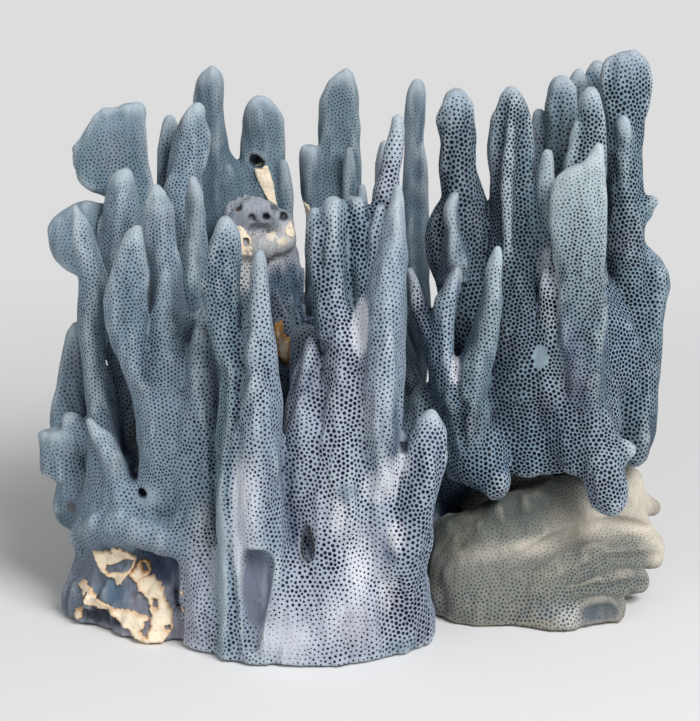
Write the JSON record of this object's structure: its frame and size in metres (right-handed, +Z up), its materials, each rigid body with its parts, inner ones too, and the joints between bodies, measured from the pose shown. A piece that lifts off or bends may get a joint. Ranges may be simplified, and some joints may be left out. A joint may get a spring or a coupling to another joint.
{
  "type": "blue coral skeleton",
  "caption": "Upright blue coral skeleton: a thicket of flattened fingers and leaf-shaped blades rising from a fused base, porous all over and sawn flat underneath to stand on a shelf.",
  "frame": {"origin": "on the flat sawn underside, near the middle of the colony", "axes": "+Z up out of the sawn underside, +X along the colony's length to the right as seen from its front, +Y from the front to the back"},
  "size_m": [0.1786, 0.1134, 0.1535],
  "materials": {
    "blue_skeleton": "matte chalky blue-grey mineral covered in small round dark-blue pores",
    "slate_rear": "matte slate-blue mineral with fine pores, darker than the front",
    "lilac_front": "matte pale lilac-blue mineral with sparse dark pores and fine vertical grain",
    "pale_tip": "matte pale ice-blue mineral, nearly pore-free at tips and smooth ridges",
    "cream_lobe": "matte blue-grey to cream mineral with fine pores and a smooth cream rim",
    "crusted_stub": "matte grey-lilac worn stub with cream crust and small pits"
  },
  "bodies": {
    "root": {"rear_left_mass": "slate_rear", "rear_middle_mass": "slate_rear", "front_buttress": "lilac_front", "side_buttress": "blue_skeleton", "pale_lobe": "cream_lobe", "right_mass": "blue_skeleton", "left_base": "slate_rear", "left_mass": "blue_skeleton", "mound": "crusted_stub", "front_pillar": "lilac_front", "front_leaf": "blue_skeleton", "comb_middle": "blue_skeleton", "comb_right": "blue_skeleton", "comb_left": "blue_skeleton", "sail": "pale_tip", "needle": "blue_skeleton", "rear_peg": "slate_rear", "thumb": "lilac_front", "great_blade": "blue_skeleton", "great_blade_back": "blue_skeleton", "side_lobe": "blue_skeleton", "ribbed_blade": "blue_skeleton", "knob_finger": "blue_skeleton", "knob_thorn": "pale_tip", "pale_blade": "pale_tip", "mid_finger": "blue_skeleton", "mid_spine": "pale_tip", "rear_paddle": "blue_skeleton", "rear_spur": "slate_rear", "hanging_leaf": "blue_skeleton", "rib_tip": "pale_tip", "thin_spine": "pale_tip", "slim_finger": "pale_tip", "fork_right": "blue_skeleton", "fork_left": "blue_skeleton", "left_leaf": "blue_skeleton", "broad_leaf": "blue_skeleton", "fan_blade": "blue_skeleton", "round_lobe": "blue_skeleton", "left_pillar": "blue_skeleton", "nib_leaf": "pale_tip", "twin_leaf": "blue_skeleton", "small_leaf": "blue_skeleton", "hidden_finger": "slate_rear", "outer_finger": "blue_skeleton", "outer_block": "blue_skeleton", "outer_knob": "blue_skeleton", "tall_finger": "slate_rear", "spoon_blade": "slate_rear", "spoon_thorn": "slate_rear", "rear_tower": "slate_rear", "tower_step": "slate_rear", "tower_rib": "slate_rear", "tower_thorn": "slate_rear", "rear_blade": "slate_rear", "rear_thorn": "slate_rear"}
  },
  "joints": []
}
